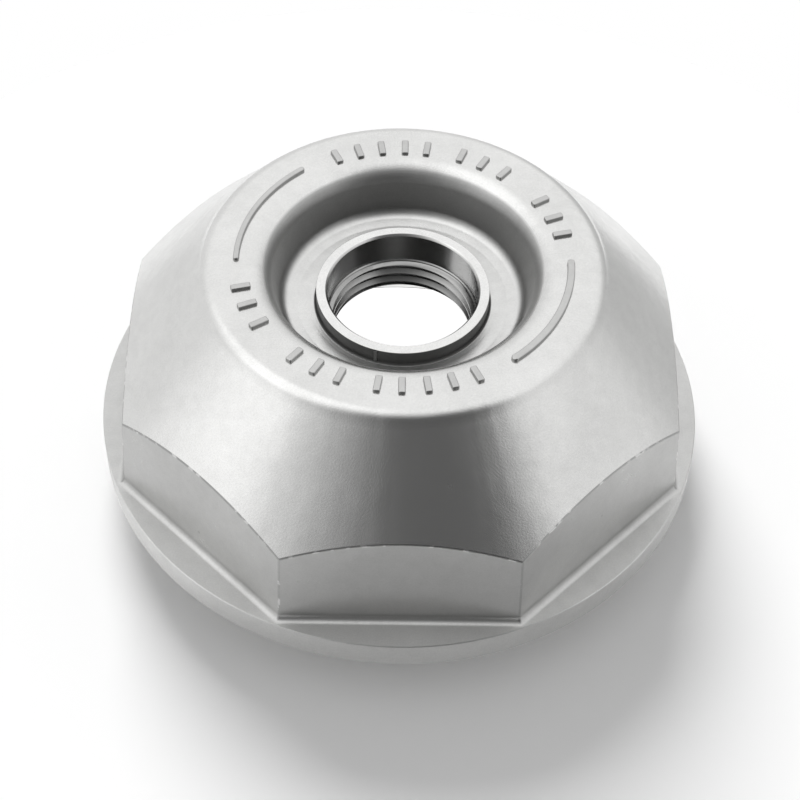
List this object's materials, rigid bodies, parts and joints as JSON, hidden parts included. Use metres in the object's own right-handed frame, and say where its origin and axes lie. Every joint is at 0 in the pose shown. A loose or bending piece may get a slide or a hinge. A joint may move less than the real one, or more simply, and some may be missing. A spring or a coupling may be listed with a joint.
{
  "type": "hub grease cap",
  "caption": "Cast aluminium hub cap: wrench flats on a round flange, a conical flank, a dished crown and a tapped fill hole in a short collar. It screws into a hub end to hold grease.",
  "frame": {"origin": "On the cap's axis, at the foot of the spigot, which is the lowest plane of the part.", "axes": "+Z runs along the axis out of the wheel, from the spigot to the crown. A wrench flat faces -Y and another faces +X. Millimetres in the source, metres here."},
  "size_m": [0.136, 0.136, 0.0637],
  "materials": {
    "cast_aluminium": "satin blasted casting, with turned faces on the collar, the counterbore, the flange's underside and the spigot"
  },
  "bodies": {
    "root": {"hub_cap": "cast_aluminium"}
  },
  "joints": []
}
